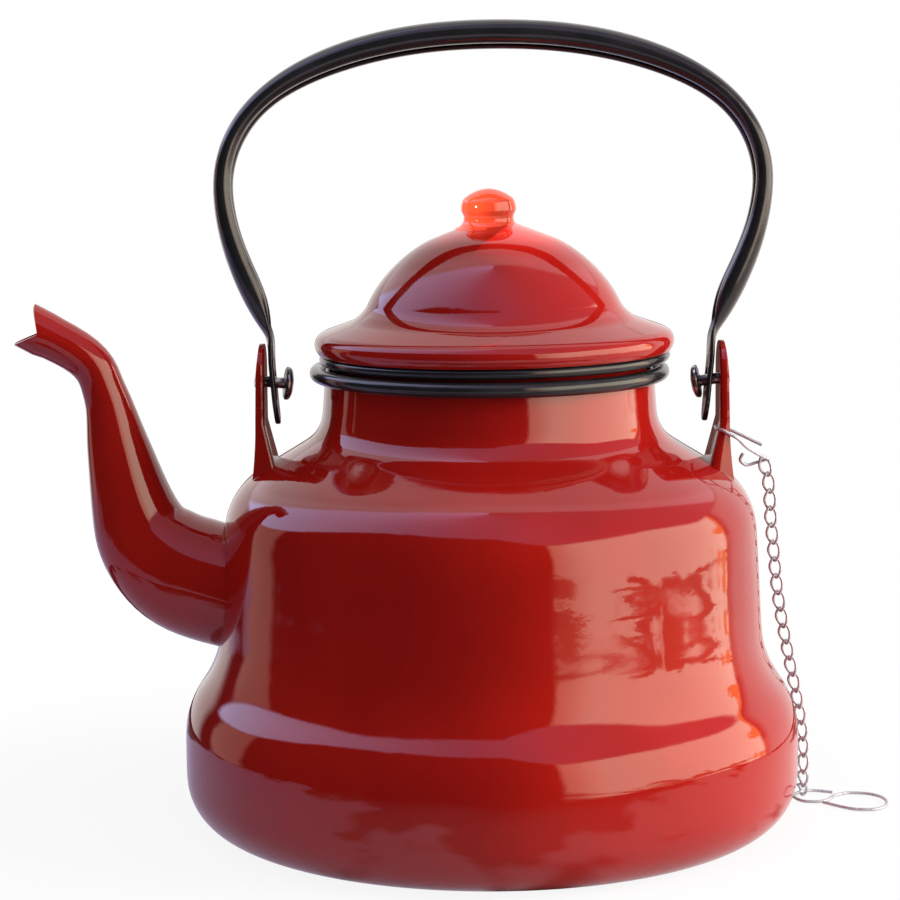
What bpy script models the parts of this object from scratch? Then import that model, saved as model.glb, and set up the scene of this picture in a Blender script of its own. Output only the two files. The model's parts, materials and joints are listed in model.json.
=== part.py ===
"""Enamel kettle: a stepped body with a curved spout, a loose domed lid, a bail hinged
on two riveted ears, and a wire clip on a chain that hangs from the right ear.

The frame's origin is on the kettle's axis, in the plane of its base. +Z is up, the spout
points along -X, and the ears stand on the X axis. Lengths are in metres.
"""

import math

import bmesh
import bpy
from mathutils import Matrix, Quaternion, Vector

# Clearances
GAP = 0.0003

# Body, a turned shell: radii and heights of its outer skin, with the fillet at each corner
BODY_WALL = 0.0008
BASE_ROUND = 0.0168
BELT_RADIUS = 0.1001
BELT_HEIGHT = 0.0399
BELT_ROUND = 0.0232
WAIST_RADIUS = 0.0887
WAIST_HEIGHT = 0.0536
WAIST_ROUND = 0.0304
SHOULDER_RADIUS = 0.0857
SHOULDER_HEIGHT = 0.1095
SHOULDER_ROUND = 0.0205
NECK_ROOT_RADIUS = 0.0543
NECK_ROOT_HEIGHT = 0.1286
NECK_ROUND = 0.0112
MOUTH_RADIUS = 0.0529
RIM_HEIGHT = 0.1479
RIM_BEAD_RADIUS = 0.0024
PAN_WALL_HEIGHT = 0.0240

# Lid, which sits a little to the right on the rim, with its right side a little raised
LID_SHIFT = 0.0017
LID_TILT = math.radians(0.5)
LID_WALL = 0.0008
LID_HEM_WIRE = 0.0017
LID_HEM_RADIUS = 0.0548
LID_BRIM_RADIUS = 0.0605
LID_BRIM_RISE = 0.0067
LID_BRIM_ROUND = 0.0060
LID_DOME_FOOT_RADIUS = 0.0432
LID_DOME_FOOT_RISE = 0.0132
LID_DOME_FOOT_ROUND = 0.0093
LID_DOME_RADIUS = 0.0324
LID_DOME_RISE = 0.0330
LID_DOME_ROUND = 0.0370
LID_CROWN_RISE = 0.0476
LID_COLLAR_RADIUS = 0.0495
LID_COLLAR_DEPTH = 0.0100
KNOB_RADIUS = 0.0087
KNOB_HEIGHT = 0.0069
KNOB_SHIFT = -0.0012
KNOB_NECK_RADIUS = 0.0081
KNOB_NECK_HEIGHT = 0.0020
KNOB_FOOT_FLARE = 0.0016

# Spout: each station is its reach beyond the body's side, its rise above the root and its radius
SPOUT_WALL = 0.0009
SPOUT_ROOT_HEIGHT = 0.0772
SPOUT_STATIONS = (
    (-0.0043, 0.0000, 0.01975),
    (0.0130, 0.0054, 0.01963),
    (0.0239, 0.0156, 0.01684),
    (0.0283, 0.0258, 0.01390),
    (0.0330, 0.0469, 0.01018),
    (0.0367, 0.0640, 0.00718),
    (0.0433, 0.0763, 0.00690),
    (0.0648, 0.0884, 0.00755),
)
SPOUT_NOTCH_DEPTH = 0.0086
SPOUT_NOTCH_ANGLE = math.radians(53)

# Ears: pressed channels whose webs face the lid. They stand a little to the right
EAR_SHEET = 0.0012
EAR_INSET = 0.0126
EAR_SHIFT = 0.0008
EAR_HALF_WIDTH = 0.0100
EAR_BEND = 0.0018
EAR_TOP_FLANGE = 0.0018
EAR_FLANGE = 0.0030
EAR_FOOT_HALF_WIDTH = 0.0170
EAR_FOOT_LEAN = 0.0050
EAR_KNEE_DROP = 0.0130

# Pivots and rivets
PIVOT_HEIGHT = 0.1451
EAR_TOP_RISE = 0.0030
EAR_CROWN_RISE = 0.0092
RIVET_SHANK_RADIUS = 0.0018
RIVET_SHANK_LENGTH = 0.0086
RIVET_HEAD_RADIUS = 0.00535
RIVET_HEAD_THICKNESS = 0.0024
RIVET_TAIL_RADIUS = 0.0025
RIVET_TAIL_THICKNESS = 0.0012
RIVET_SWING = math.radians(11)
RIVET_DROOP_LEFT = math.radians(6.7)
RIVET_DROOP_RIGHT = math.radians(10)
EAR_HOLE_CLEARANCE = 0.0006
TAB_HOLE_CLEARANCE = 0.0018

# Bail: a strip rolled into an open channel, flat where it is riveted
BAIL_SHEET = 0.0017
BAIL_TAB_GAP = 0.0020
BAIL_TAB_SLANT = 0.0014
BAIL_TAB_RISE = 0.0140
BAIL_TAB_DROP = 0.0140
BAIL_TAB_WIDTH = 0.0150
BAIL_RISE = 0.1164
BAIL_BELLY_RISE = 0.0619
BAIL_HALF_SPAN = 0.0908
BAIL_ARCH_POWER = 2.2
BAIL_SHANK = ((0.918, 0.737), (0.701, 0.463), (0.377, 0.200), (0.096, 0.046))
BAIL_ARM_WIDTH = 0.0180
BAIL_ARM_DEPTH = 0.0061
BAIL_GRIP_WIDTH = 0.0210
BAIL_GRIP_DEPTH = 0.0086
BAIL_HIP_RISE = 0.0280
BAIL_HIP_DEPTH = 0.0082
BAIL_LIP = 0.0055
BAIL_ROLL_RISE = 0.0240
BAIL_SKEW = 0.0022
BAIL_LEAN = math.radians(8)
BAIL_SHIFT = 0.0005

# Chain and its two wire clips. Each row of the route is its share of the drop, its distance
# from the body's side and its angle behind the ear in degrees. The chain's hole is a share of the
# way from the body's skin up to the pivot
LINK_WIRE = 0.00045
LINK_INNER_WIDTH = 0.0027
LINK_COUNT = 21
LINK_TWIST = math.radians(45)
CHAIN_TWIST = math.radians(-45)
CHAIN_ROUTE = (
    (0.059, 0.0041, 1.1),
    (0.157, 0.0049, 2.1),
    (0.254, 0.0062, 3.0),
    (0.357, 0.0069, 3.9),
    (0.455, 0.0082, 4.7),
    (0.558, 0.0081, 5.6),
    (0.653, 0.0037, 6.3),
    (0.749, 0.0037, 7.0),
    (0.853, 0.0053, 7.8),
    (0.950, 0.0086, 8.6),
)
CLIP_WIRE = 0.00055
CLIP_REST_HEIGHT = 0.0009
UPPER_CLIP_REACH = 0.0163
LOWER_CLIP_LENGTH = 0.0319
EAR_CHAIN_HOLE_SHARE = 0.434
EAR_CHAIN_HOLE_RADIUS = 0.0018

# Fineness of the curved surfaces
TURN_STEPS = 40
SMALL_TURN_STEPS = 20
SPOUT_SIDES = 20
ARC_STEP = math.radians(18)

ENAMEL_RED = (0.42, 0.012, 0.010, 1.0)
ENAMEL_BLACK = (0.008, 0.008, 0.010, 1.0)
STEEL = (0.62, 0.62, 0.63, 1.0)


def clear_scene():
    for item in list(bpy.data.objects):
        bpy.data.objects.remove(item, do_unlink=True)


def new_collection(name):
    collection = bpy.data.collections.new(name)
    bpy.context.scene.collection.children.link(collection)
    return collection


def new_material(name, color, roughness, metallic):
    material = bpy.data.materials.new(name)
    material.use_nodes = True
    shader = material.node_tree.nodes["Principled BSDF"]
    shader.inputs["Base Color"].default_value = color
    shader.inputs["Roughness"].default_value = roughness
    shader.inputs["Metallic"].default_value = metallic
    return material


def add_object(name, data, collection, material=None):
    item = bpy.data.objects.new(name, data)
    collection.objects.link(item)
    if material is not None:
        data.materials.append(material)
    return item


def add_cutter(name, data):
    cutter = add_object(name, data, CUTTERS)
    cutter.hide_render = True
    cutter.display_type = 'WIRE'
    return cutter


# Lines and paths

def rounded_line(corners):
    """Points of the line through corners (radius, height, fillet), each fillet as an arc.

    Where two fillets are too long for the straight between them, both are shortened.
    """
    places = [Vector(corner[:2]) for corner in corners]
    trims = [0.0]
    for before, here, after, corner in zip(places, places[1:], places[2:], corners[1:]):
        trims.append(corner[2] / math.tan((before - here).angle(after - here) / 2))
    trims.append(0.0)
    room = [(b - a).length * 0.98 / max(s + t, 0.00001)
            for a, b, s, t in zip(places, places[1:], trims, trims[1:])]
    points = [places[0]]
    for index in range(1, len(places) - 1):
        here = places[index]
        back = (places[index - 1] - here).normalized()
        ahead = (places[index + 1] - here).normalized()
        trim = trims[index] * min(1.0, room[index - 1], room[index])
        half = back.angle(ahead) / 2
        centre = here + (back + ahead).normalized() * trim / math.cos(half)
        start = here + back * trim - centre
        turn = -start.angle_signed(here + ahead * trim - centre)
        steps = max(1, math.ceil(abs(turn) / ARC_STEP))
        for step in range(steps + 1):
            points.append(centre + Matrix.Rotation(turn * step / steps, 2) @ start)
    points.append(places[-1])
    return points


def moved_sideways(line, distance):
    """The line that runs beside another, towards its right-hand side as it runs up."""
    result = []
    for index, point in enumerate(line):
        before = line[max(index - 1, 0)]
        after = line[min(index + 1, len(line) - 1)]
        along = (after - before).normalized()
        result.append(point + Vector((along.y, -along.x)) * distance)
    return result


def height_at(line, radius):
    """The height at which a turned outline passes a radius, taken from its top end."""
    for lower, upper in zip(line[-2::-1], line[::-1]):
        if min(lower.x, upper.x) <= radius <= max(lower.x, upper.x) and lower.x != upper.x:
            return lower.y + (upper.y - lower.y) * (radius - lower.x) / (upper.x - lower.x)
    return line[0].y


def radius_at(line, height):
    """The radius of a turned outline at a height."""
    for lower, upper in zip(line, line[1:]):
        if lower.y <= height <= upper.y and lower.y != upper.y:
            return lower.x + (upper.x - lower.x) * (height - lower.y) / (upper.y - lower.y)
    return line[-1].x


def smooth_path(points, steps):
    """Points of a Catmull-Rom curve through the given points."""
    route = [Vector(point) for point in points]
    route = [route[0] * 2 - route[1]] + route + [route[-1] * 2 - route[-2]]
    result = []
    for a, b, c, d in zip(route, route[1:], route[2:], route[3:]):
        for step in range(steps):
            t = step / steps
            result.append(0.5 * (2 * b + (c - a) * t + (2 * a - 5 * b + 4 * c - d) * t ** 2
                                 + (3 * b - a - 3 * c + d) * t ** 3))
    result.append(route[-2])
    return result


def path_length(path):
    return sum((b - a).length for a, b in zip(path, path[1:]))


def at_length(path, length):
    """The point of a path at a length along it. The path's two ends run on straight."""
    for a, b in zip(path, path[1:-1]):
        step = (b - a).length
        if length <= step:
            return a.lerp(b, length / step)
        length -= step
    a, b = path[-2:]
    return a.lerp(b, length / (b - a).length)


# Shapes

def turned(name, outline, collection, material=None, wall=0.0, steps=TURN_STEPS):
    """A solid or, with a wall, a shell, turned about Z. The outline runs down its outer side."""
    mesh = bpy.data.meshes.new(name)
    vertices = [(point.x, 0.0, point.y) for point in outline]
    mesh.from_pydata(vertices, [(i, i + 1) for i in range(len(vertices) - 1)], [])
    item = add_object(name, mesh, collection, material)
    screw = item.modifiers.new("turn", 'SCREW')
    screw.steps = steps
    screw.render_steps = steps
    screw.use_merge_vertices = True
    screw.merge_threshold = 0.00001
    screw.use_smooth_shade = True
    if wall:
        add_wall(item, wall)
    return item


def add_wall(item, wall):
    """Thickens an open surface inwards."""
    solidify = item.modifiers.new("wall", 'SOLIDIFY')
    solidify.thickness = wall
    solidify.offset = -1.0
    solidify.use_even_offset = True


def ring_solid(name, centre_radius, height, wire_radius, material):
    """A closed ring of round wire about Z."""
    bpy.ops.mesh.primitive_torus_add(
        major_radius=centre_radius, minor_radius=wire_radius, major_segments=TURN_STEPS,
        minor_segments=8, location=(0.0, 0.0, height))
    item = bpy.context.object
    item.name = name
    item.data.name = name
    for collection in list(item.users_collection):
        collection.objects.unlink(item)
    PARTS.objects.link(item)
    item.data.materials.append(material)
    item.data.shade_smooth()
    return item


def loft(name, rings, closed=True, capped=True):
    """A mesh through rings of points, each ring with as many points as the others."""
    shape = bmesh.new()
    rows = [[shape.verts.new(point) for point in ring] for ring in rings]
    count = len(rows[0])
    for lower, upper in zip(rows, rows[1:]):
        for i in range(count if closed else count - 1):
            j = (i + 1) % count
            shape.faces.new((lower[i], lower[j], upper[j], upper[i]))
    if capped:
        shape.faces.new(rows[0])
        shape.faces.new(rows[-1])
    bmesh.ops.recalc_face_normals(shape, faces=shape.faces)
    mesh = bpy.data.meshes.new(name)
    shape.to_mesh(mesh)
    shape.free()
    return mesh


def cylinder(name, radius, length, matrix, steps=SMALL_TURN_STEPS):
    """A round bar about its own Z, centred on the matrix's place."""
    shape = bmesh.new()
    bmesh.ops.create_cone(shape, cap_ends=True, segments=steps, radius1=radius,
                          radius2=radius, depth=length, matrix=matrix)
    mesh = bpy.data.meshes.new(name)
    shape.to_mesh(mesh)
    shape.free()
    return mesh


def cut(item, cutter):
    boolean = item.modifiers.new("cut " + cutter.name, 'BOOLEAN')
    boolean.operation = 'DIFFERENCE'
    boolean.solver = 'EXACT'
    boolean.object = cutter


def shade(item):
    item.data.shade_smooth()
    item.data.set_sharp_from_angle(angle=math.radians(40))


def wire(name, points, radius, material, cyclic=False):
    """Round wire along points."""
    curve = bpy.data.curves.new(name, 'CURVE')
    curve.dimensions = '3D'
    curve.bevel_depth = radius
    curve.bevel_resolution = 1
    curve.use_fill_caps = not cyclic
    spline = curve.splines.new('POLY')
    spline.points.add(len(points) - 1)
    for target, point in zip(spline.points, points):
        target.co = (point[0], point[1], point[2], 1.0)
    spline.use_cyclic_u = cyclic
    return add_object(name, curve, PARTS, material)


# Body

def body_outline():
    """The body's outer skin from the middle of the base up to the mouth."""
    return rounded_line((
        (0.0, 0.0, 0.0),
        (BELT_RADIUS, 0.0, BASE_ROUND),
        (BELT_RADIUS, BELT_HEIGHT, BELT_ROUND),
        (WAIST_RADIUS, WAIST_HEIGHT, WAIST_ROUND),
        (SHOULDER_RADIUS, SHOULDER_HEIGHT, SHOULDER_ROUND),
        (NECK_ROOT_RADIUS, NECK_ROOT_HEIGHT, NECK_ROUND),
        (MOUTH_RADIUS, RIM_HEIGHT + RIM_BEAD_RADIUS / 2, 0.0),
    ))


def part_of_line(line, low, high):
    """The stretch of a turned outline between two heights, without its flat base."""
    middle = [point for point in line if low < point.y < high]
    start = Vector((radius_at(line, low), low))
    end = Vector((radius_at(line, high), high))
    return [start] + middle + [end]


def make_body():
    outline = body_outline()
    upper = part_of_line(outline, PAN_WALL_HEIGHT + GAP / 2, outline[-1].y)
    lower = [point for point in outline if point.y < PAN_WALL_HEIGHT - GAP / 2]
    seam = PAN_WALL_HEIGHT - GAP / 2
    lower.append(Vector((radius_at(outline, seam), seam)))
    body = turned("body_shell", upper[::-1], PARTS, RED, BODY_WALL)
    turned("bottom_pan", lower[::-1], PARTS, RED, BODY_WALL)
    bead = MOUTH_RADIUS + GAP + RIM_BEAD_RADIUS
    ring_solid("mouth_rim", bead, RIM_HEIGHT, RIM_BEAD_RADIUS, BLACK)
    skin = moved_sideways(outline[1:], GAP)
    skin = [Vector((0.0, -GAP)), Vector((outline[1].x, -GAP))] + skin[1:]
    skin.append(Vector((0.0, skin[-1].y)))
    skin_cutter = turned("body_skin_cutter", skin[::-1], CUTTERS)
    skin_cutter.hide_render = True
    skin_cutter.display_type = 'WIRE'
    return body, skin_cutter


# Spout

def spout_frames(outline):
    """Centre, direction and radius along the spout, from inside the body to its tip."""
    side = radius_at(outline, SPOUT_ROOT_HEIGHT)
    stations = [(-side - reach, SPOUT_ROOT_HEIGHT + rise, radius)
                for reach, rise, radius in SPOUT_STATIONS]
    path = smooth_path(stations, 2)
    frames = []
    for index, point in enumerate(path):
        before = path[max(index - 1, 0)]
        after = path[min(index + 1, len(path) - 1)]
        along = Vector((after.x - before.x, 0.0, after.y - before.y)).normalized()
        frames.append((Vector((point.x, 0.0, point.y)), along, point.z))
    return frames


def spout_ring(centre, along, radius):
    side = Vector((0.0, 1.0, 0.0))
    up = along.cross(side)
    angles = [2 * math.pi * (i + 0.5) / SPOUT_SIDES for i in range(SPOUT_SIDES)]
    return [centre + (side * math.cos(a) + up * math.sin(a)) * radius for a in angles]


def make_spout(body, skin_cutter):
    frames = spout_frames(body_outline())
    centre, along, radius = frames[0]
    root = (centre - along * radius / 2, along, radius)
    rings = [spout_ring(*frame) for frame in [root] + frames]
    spout = add_object("spout", loft("spout", rings, capped=False), PARTS, RED)
    add_wall(spout, SPOUT_WALL)
    cut(spout, skin_cutter)
    tip, along, radius = frames[-1]
    cut(spout, notch_cutter(tip - along * SPOUT_NOTCH_DEPTH, along, radius))
    bore_root = (centre - frames[0][1] * frames[0][2], frames[0][1], frames[0][2])
    bore = [(place, direction, size - SPOUT_WALL)
            for place, direction, size in [bore_root] + frames[:4]]
    bore_mesh = loft("spout_bore_cutter", [spout_ring(*frame) for frame in bore])
    cut(body, add_cutter("spout_bore_cutter", bore_mesh))
    shade(spout)


def notch_cutter(apex, along, radius):
    """A wedge across the spout whose edge lies at the bottom of the notch in its mouth."""
    up = along.cross(Vector((0.0, 1.0, 0.0)))
    reach = 4 * radius
    spread = reach * math.tan(SPOUT_NOTCH_ANGLE)
    corners = (apex, apex + along * reach + up * spread, apex + along * reach - up * spread)
    across = Vector((0.0, 2 * radius, 0.0))
    rings = [[corner - across for corner in corners], [corner + across for corner in corners]]
    return add_cutter("spout_notch_cutter", loft("spout_notch_cutter", rings))


# Ears

def ear_web():
    """The distance from the kettle's axis to the inner face of an ear's web."""
    return SHOULDER_RADIUS - EAR_INSET


def ear_stations():
    """Height, web distance, half width and flange depth, from the ear's top to its foot."""
    web = ear_web()
    centre = PIVOT_HEIGHT + EAR_TOP_RISE
    stations = []
    for angle in (90, 72, 54, 36, 18, 0):
        turn = math.radians(angle)
        flange = EAR_TOP_FLANGE + (EAR_FLANGE - EAR_TOP_FLANGE) * (1 - math.sin(turn)) * 0.7
        stations.append((centre + EAR_CROWN_RISE * math.sin(turn), web,
                         EAR_HALF_WIDTH * math.cos(turn), flange))
    knee = PIVOT_HEIGHT - EAR_KNEE_DROP
    foot = SHOULDER_HEIGHT - SHOULDER_ROUND / 3
    wider = EAR_FOOT_HALF_WIDTH - EAR_HALF_WIDTH
    stations.append((knee, web, EAR_HALF_WIDTH + 0.06 * wider, EAR_FLANGE))
    for share in (0.2, 0.4, 0.6, 0.8, 1.0):
        lean = EAR_FOOT_LEAN * share * 1.4
        stations.append((knee + (foot - knee) * share, web - lean,
                         EAR_HALF_WIDTH + wider * share ** 1.3,
                         EAR_FLANGE + lean + EAR_FLANGE * share ** 2))
    return stations


def ear_at(height):
    """The distance of an ear's web and half its width, at a height below its pivot."""
    rows = ear_stations()
    for upper, lower in zip(rows, rows[1:]):
        if upper[0] >= height > lower[0]:
            share = (upper[0] - height) / (upper[0] - lower[0])
            return (upper[1] + (lower[1] - upper[1]) * share,
                    upper[2] + (lower[2] - upper[2]) * share)
    return rows[-1][1], rows[-1][2]


def ear_row(height, web, half_width, flange):
    """One cross-section of the ear's sheet, from flange edge to flange edge."""
    bend = min(EAR_BEND, half_width)
    half = [(web + flange, half_width), (web + bend, half_width),
            (web + bend * 0.3, half_width - bend * 0.3), (web, half_width - bend)]
    points = [Vector((x, -y, height)) for x, y in half]
    points += [Vector((web, 0.0, height))]
    points += [Vector((x, y, height)) for x, y in reversed(half)]
    return points


def make_ear(name, turn, skin_cutter):
    """An ear on the +X side, or on the -X side after half a turn about the axis."""
    rows = [ear_row(*station) for station in ear_stations()]
    mesh = loft(name, rows, closed=False, capped=False)
    shape = bmesh.new()
    shape.from_mesh(mesh)
    bmesh.ops.remove_doubles(shape, verts=shape.verts, dist=0.00001)
    bmesh.ops.dissolve_degenerate(shape, edges=shape.edges, dist=0.00001)
    bmesh.ops.recalc_face_normals(shape, faces=shape.faces)
    face = min(shape.faces, key=lambda f: abs(f.calc_center_median().z - PIVOT_HEIGHT)
               + abs(f.calc_center_median().x - ear_web()))
    if face.normal.x > 0:
        bmesh.ops.reverse_faces(shape, faces=shape.faces)
    place = Matrix.Translation((EAR_SHIFT, 0.0, 0.0)) @ Matrix.Rotation(turn, 4, 'Z')
    bmesh.ops.transform(shape, matrix=place, verts=shape.verts)
    shape.to_mesh(mesh)
    shape.free()
    ear = add_object(name, mesh, PARTS, RED)
    add_wall(ear, EAR_SHEET)
    cut(ear, skin_cutter)
    shade(ear)
    return ear


def hole_cutter(name, x, height, radius):
    """A bar along X through an ear's web or a bail's tab, at x from the middle between the ears."""
    place = Matrix.Translation((EAR_SHIFT + x, 0.0, height)) @ Matrix.Rotation(math.pi / 2, 4, 'Y')
    return add_cutter(name, cylinder(name, radius, EAR_INSET, place))


def chain_hole_height():
    skin = height_at(body_outline(), ear_web())
    return skin + (PIVOT_HEIGHT - skin) * EAR_CHAIN_HOLE_SHARE


def make_ears(skin_cutter):
    ears = {}
    for side, name, turn in ((-1, "ear_left", math.pi), (1, "ear_right", 0.0)):
        ear = make_ear(name, turn, skin_cutter)
        cut(ear, hole_cutter(name + "_pivot_cutter", side * (ear_web() + EAR_SHEET / 2),
                             PIVOT_HEIGHT, RIVET_SHANK_RADIUS + EAR_HOLE_CLEARANCE))
        ears[name] = ear
    cut(ears["ear_right"], hole_cutter("chain_hole_cutter", ear_web() + EAR_SHEET / 2,
                                       chain_hole_height(), EAR_CHAIN_HOLE_RADIUS))


# Rivets

def make_rivet(name, side, droop):
    """A rivet through an ear and a bail's tab, its head on the lid's side.

    It is set loosely, so its head hangs below its tail and behind it.
    """
    tail = RIVET_TAIL_THICKNESS
    shank_end = tail + RIVET_SHANK_LENGTH
    head = RIVET_HEAD_RADIUS
    top = shank_end + RIVET_HEAD_THICKNESS
    round_over = RIVET_HEAD_THICKNESS / 2
    outline = [Vector(point) for point in (
        (0.0, top), (head - 2 * round_over, top), (head - round_over / 2, top - round_over / 2),
        (head, shank_end + round_over / 2), (head - round_over / 2, shank_end),
        (RIVET_SHANK_RADIUS, shank_end), (RIVET_SHANK_RADIUS, tail),
        (RIVET_TAIL_RADIUS, tail), (RIVET_TAIL_RADIUS * 0.8, 0.0), (0.0, 0.0))]
    rivet = turned(name, outline, PARTS, STEEL_BRIGHT, steps=SMALL_TURN_STEPS)
    along = Vector((-side * math.cos(RIVET_SWING), math.sin(RIVET_SWING), -math.sin(droop)))
    along.normalize()
    seat = Vector((EAR_SHIFT + side * (ear_web() + EAR_SHEET / 2), 0.0, PIVOT_HEIGHT))
    web_reach = EAR_SHEET / 2 + GAP + RIVET_TAIL_RADIUS * math.tan(RIVET_SWING)
    web_reach += RIVET_TAIL_RADIUS * math.tan(droop)
    rivet.rotation_mode = 'QUATERNION'
    rivet.rotation_quaternion = Vector((0.0, 0.0, 1.0)).rotation_difference(along)
    rivet.location = seat - along * (web_reach + tail)


# Bail

def bail_outline():
    """Half of the bail's outer face, from the end of its tab to the top of its arch.

    Each point is its distance from the kettle's axis and its rise above the pivot.
    """
    tab = ear_web() - BAIL_TAB_GAP
    tab_top = tab + BAIL_TAB_SLANT
    tab_end = tab - BAIL_TAB_SLANT
    points = [(tab_end, -BAIL_TAB_DROP), (tab_end + 0.0001, -BAIL_TAB_DROP * 0.93),
              (tab_end + 0.0003, -BAIL_TAB_DROP * 0.78), (tab_end + 0.0008, -BAIL_TAB_DROP / 2),
              (tab, 0.0), (tab + BAIL_TAB_SLANT * 0.6, BAIL_TAB_RISE / 2),
              (tab_top, BAIL_TAB_RISE)]
    height = BAIL_BELLY_RISE - BAIL_TAB_RISE
    for out, up in reversed(BAIL_SHANK):
        points.append((tab_top + (BAIL_HALF_SPAN - tab_top) * out,
                       BAIL_TAB_RISE + height * up))
    crown = BAIL_RISE - BAIL_BELLY_RISE
    for step in range(10):
        turn = math.pi / 2 * step / 9
        out = math.cos(turn) ** (2 / BAIL_ARCH_POWER)
        up = math.sin(turn) ** (2 / BAIL_ARCH_POWER)
        points.append((BAIL_HALF_SPAN * out, BAIL_BELLY_RISE + crown * up))
    return [Vector(point) for point in points]


def blend(low, high, share):
    share = min(max(share, 0.0), 1.0)
    share = share * share * (3 - 2 * share)
    return low + (high - low) * share


def bail_section(rise):
    """The strip's middle line across the bail at a rise above the pivot.

    Each point is its place across the strip and its depth below the outer face.
    """
    roll = blend(0.0, 1.0, (rise - BAIL_TAB_RISE * 0.8) / (BAIL_ROLL_RISE - BAIL_TAB_RISE * 0.8))
    grip_start = (BAIL_BELLY_RISE + BAIL_RISE) / 2
    grip = blend(0.0, 1.0, (rise - grip_start) / (BAIL_RISE - grip_start))
    arm = blend(BAIL_HIP_DEPTH, BAIL_ARM_DEPTH,
                (rise - BAIL_HIP_RISE) / (BAIL_BELLY_RISE - BAIL_HIP_RISE))
    width = blend(BAIL_TAB_WIDTH, BAIL_ARM_WIDTH, rise / BAIL_ROLL_RISE)
    width += (BAIL_GRIP_WIDTH - BAIL_ARM_WIDTH) * grip
    below = BAIL_TAB_DROP + rise
    nose = BAIL_TAB_WIDTH / 2
    if below < nose:
        width = 2 * math.sqrt(max(nose ** 2 - (nose - below) ** 2, (0.15 * nose) ** 2))
    depth = arm + (BAIL_GRIP_DEPTH - BAIL_ARM_DEPTH) * grip - BAIL_SHEET
    edge = (width - BAIL_SHEET) / 2
    flat = [(-edge + 2 * edge * i / 8, 0.0) for i in range(9)]
    half = [(edge - BAIL_LIP, depth), (edge - 0.13 * depth, depth), (edge, depth * 0.55),
            (edge - 0.22 * depth, depth * 0.12)]
    rolled = [(-across, down) for across, down in half] + [(0.0, -0.04 * depth)]
    rolled += [(across, down) for across, down in reversed(half)]
    return [Vector(a).lerp(Vector(b), roll) for a, b in zip(flat, rolled)]


def thick_line(line, thickness):
    """The closed outline of a strip with the given middle line."""
    sides = []
    for side in (1, -1):
        sides.append(moved_sideways(line, side * thickness / 2))
    return sides[0] + sides[1][::-1]


def make_bail():
    half = bail_outline()
    whole = [Vector((-p.x, p.y)) for p in half] + [p.copy() for p in half[-2::-1]]
    for point in whole:
        point.x += BAIL_SKEW * max(point.y, 0.0) / BAIL_RISE
    rings = []
    for index, point in enumerate(whole):
        before = whole[max(index - 1, 0)]
        after = whole[min(index + 1, len(whole) - 1)]
        along = (after - before).normalized()
        inward = Vector((along.y, 0.0, -along.x))
        origin = Vector((point.x, 0.0, point.y)) + inward * BAIL_SHEET / 2
        section = thick_line(bail_section(point.y), BAIL_SHEET)
        rings.append([origin + Vector((0.0, across, 0.0)) + inward * down
                      for across, down in section])
    bail = add_object("bail", loft("bail", rings), PARTS, BLACK)
    bail.location = (BAIL_SHIFT, 0.0, PIVOT_HEIGHT)
    bail.rotation_euler = (-BAIL_LEAN, 0.0, 0.0)
    for side, name in ((-1, "left"), (1, "right")):
        cut(bail, hole_cutter("tab_hole_cutter_" + name, side * (ear_web() - BAIL_TAB_GAP),
                              PIVOT_HEIGHT, RIVET_SHANK_RADIUS + TAB_HOLE_CLEARANCE))
    shade(bail)


# Lid

def lid_levels():
    """The height of the rim bead's top and that of the lid's hem."""
    rim_top = RIM_HEIGHT + RIM_BEAD_RADIUS
    return rim_top, rim_top + GAP + LID_HEM_WIRE


def lid_outline():
    """The lid's outer skin from its lower edge, just above the hem, to its crown."""
    base, hem = lid_levels()
    lean = math.radians(56)
    foot = Vector((LID_HEM_RADIUS + LID_WALL, hem))
    foot += Vector((math.cos(lean), math.sin(lean))) * (LID_HEM_WIRE + GAP)
    return rounded_line((
        (foot.x, foot.y, 0.0),
        (LID_BRIM_RADIUS, hem + LID_BRIM_RISE, LID_BRIM_ROUND),
        (LID_DOME_FOOT_RADIUS, hem + LID_DOME_FOOT_RISE, LID_DOME_FOOT_ROUND),
        (LID_DOME_RADIUS, hem + LID_DOME_RISE, LID_DOME_ROUND),
        (0.0, base + LID_CROWN_RISE, 0.0),
    ))


def make_lid():
    outline = lid_outline()
    base, hem = lid_levels()
    lid_parts = [turned("lid_shell", outline[::-1], PARTS, RED, LID_WALL)]
    lid_parts.append(ring_solid("lid_hem", LID_HEM_RADIUS, hem, LID_HEM_WIRE, BLACK))
    underside = moved_sideways(outline, -LID_WALL - GAP)
    collar_top = min(height_at(underside, LID_COLLAR_RADIUS),
                     height_at(underside, LID_COLLAR_RADIUS - LID_WALL))
    collar = [Vector((LID_COLLAR_RADIUS, collar_top)),
              Vector((LID_COLLAR_RADIUS, base - LID_COLLAR_DEPTH))]
    lid_parts.append(turned("lid_collar", collar, PARTS, RED, LID_WALL))
    lid_parts += make_knob(moved_sideways(outline, GAP))
    edge = Vector((-LID_HEM_RADIUS, 0.0, base))
    tilt = Matrix.Translation(edge) @ Matrix.Rotation(-LID_TILT, 4, 'Y') @ Matrix.Translation(-edge)
    for item in lid_parts:
        item.matrix_world = (Matrix.Translation((LID_SHIFT, 0.0, 0.0)) @ tilt
                             @ Matrix.Translation(item.location))


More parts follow.
